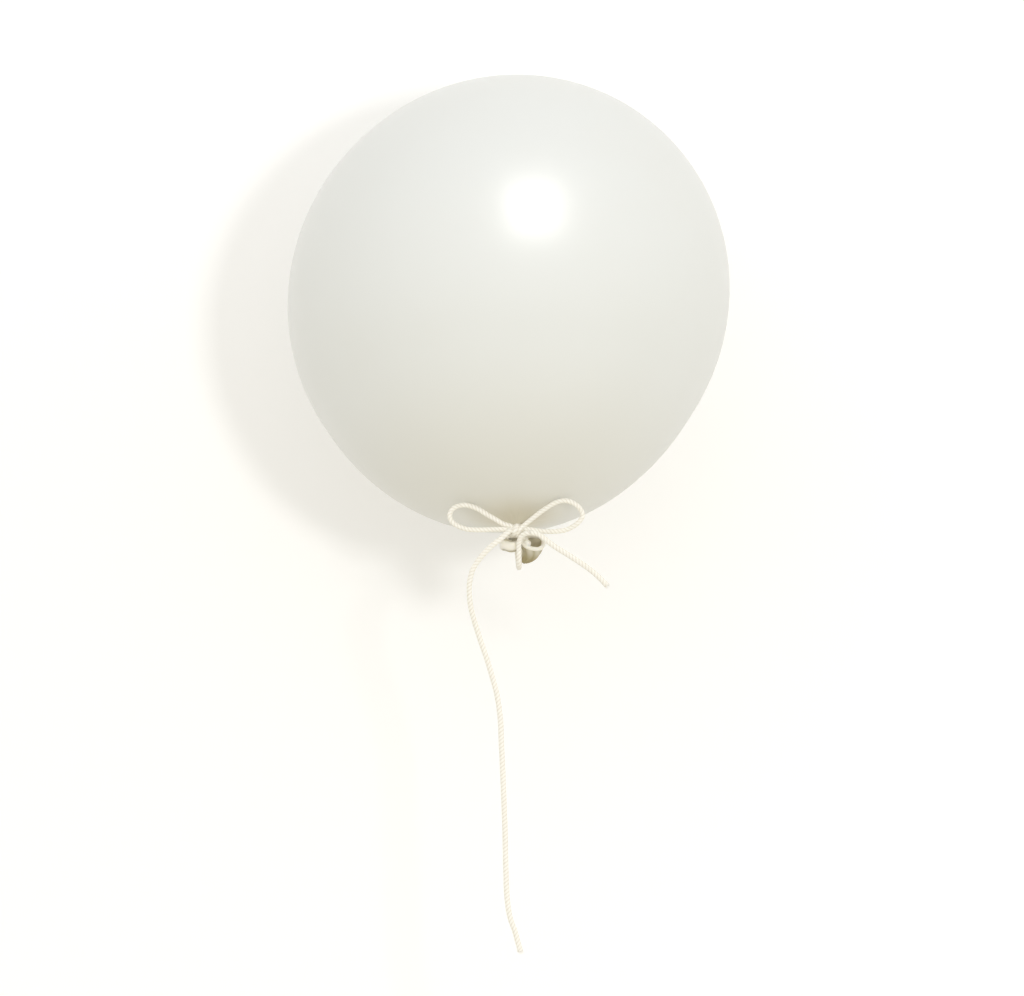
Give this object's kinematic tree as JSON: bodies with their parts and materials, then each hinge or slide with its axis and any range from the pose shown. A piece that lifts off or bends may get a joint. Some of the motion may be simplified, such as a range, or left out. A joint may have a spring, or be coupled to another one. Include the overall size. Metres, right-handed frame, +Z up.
{
  "type": "latex balloon",
  "caption": "Inflated white latex balloon with a knotted neck and a twisted ivory cotton cord tied in a bow, one long hanging tail.",
  "frame": {"origin": "the rearmost point of the balloon, where it touches the wall that it is held against", "axes": "+Z up, +Y into the wall, +X to the right as seen from the front; the neck points down and tilts to -Y"},
  "size_m": [0.28, 0.28, 0.5506],
  "materials": {
    "latex": "glossy stretched latex, slightly translucent",
    "latex_thick": "satin cream, unstretched latex",
    "cotton_cord": "matt twisted cotton"
  },
  "bodies": {
    "balloon": {"envelope": "latex"},
    "neck": {"neck": "latex_thick"},
    "bow": {"neck_lashing": "cotton_cord", "bow_knot": "cotton_cord", "knot_wrap": "cotton_cord", "neck_knot": "latex_thick"},
    "mouth": {"mouth_tail": "latex_thick", "rolled_lip": "latex_thick"},
    "left_loop": {"left_loop": "cotton_cord"},
    "right_loop": {"right_loop": "cotton_cord"},
    "short_tail": {"short_tail": "cotton_cord"},
    "long_tail_upper": {"long_tail_upper": "cotton_cord"},
    "long_tail_lower": {"long_tail_lower": "cotton_cord"}
  },
  "joints": [
    {"name": "neck_nod", "type": "hinge", "parent": "balloon", "child": "neck", "pos_m": [0.00354, -0.19851, -0.14479], "axis": [1, 0, 0], "range_deg": [-3, 22], "stiffness_Nm_per_rad": 0.05},
    {"name": "neck_twist", "type": "hinge", "parent": "neck", "child": "bow", "pos_m": [0.00354, -0.19851, -0.14479], "axis": [0.0227, -0.3746, -0.9269], "range_deg": [-30, 30], "stiffness_Nm_per_rad": 0.03},
    {"name": "mouth_flop", "type": "hinge", "parent": "bow", "child": "mouth", "pos_m": [0.0078, -0.2045, -0.16], "axis": [0, 1, 0], "range_deg": [-3, 10], "stiffness_Nm_per_rad": 0.02},
    {"name": "left_loop_droop", "type": "hinge", "parent": "bow", "child": "left_loop", "pos_m": [-0.0026, -0.2135, -0.1454], "axis": [0, -1, 0], "range_deg": [0, 35], "stiffness_Nm_per_rad": 0.02},
    {"name": "right_loop_droop", "type": "hinge", "parent": "bow", "child": "right_loop", "pos_m": [0.0086, -0.2135, -0.1452], "axis": [0, 1, 0], "range_deg": [0, 35], "stiffness_Nm_per_rad": 0.02},
    {"name": "short_tail_swing", "type": "hinge", "parent": "bow", "child": "short_tail", "pos_m": [0.0137, -0.2195, -0.1492], "axis": [0, 1, 0], "range_deg": [-15, 25], "stiffness_Nm_per_rad": 0.02},
    {"name": "long_tail_swing", "type": "hinge", "parent": "bow", "child": "long_tail_upper", "pos_m": [-0.0006, -0.2165, -0.149], "axis": [0, 1, 0], "range_deg": [-25, 35]},
    {"name": "long_tail_bend", "type": "hinge", "parent": "long_tail_upper", "child": "long_tail_lower", "pos_m": [-0.0218, -0.21725, -0.2058], "axis": [1, 0, 0], "range_deg": [-30, 30]}
  ]
}
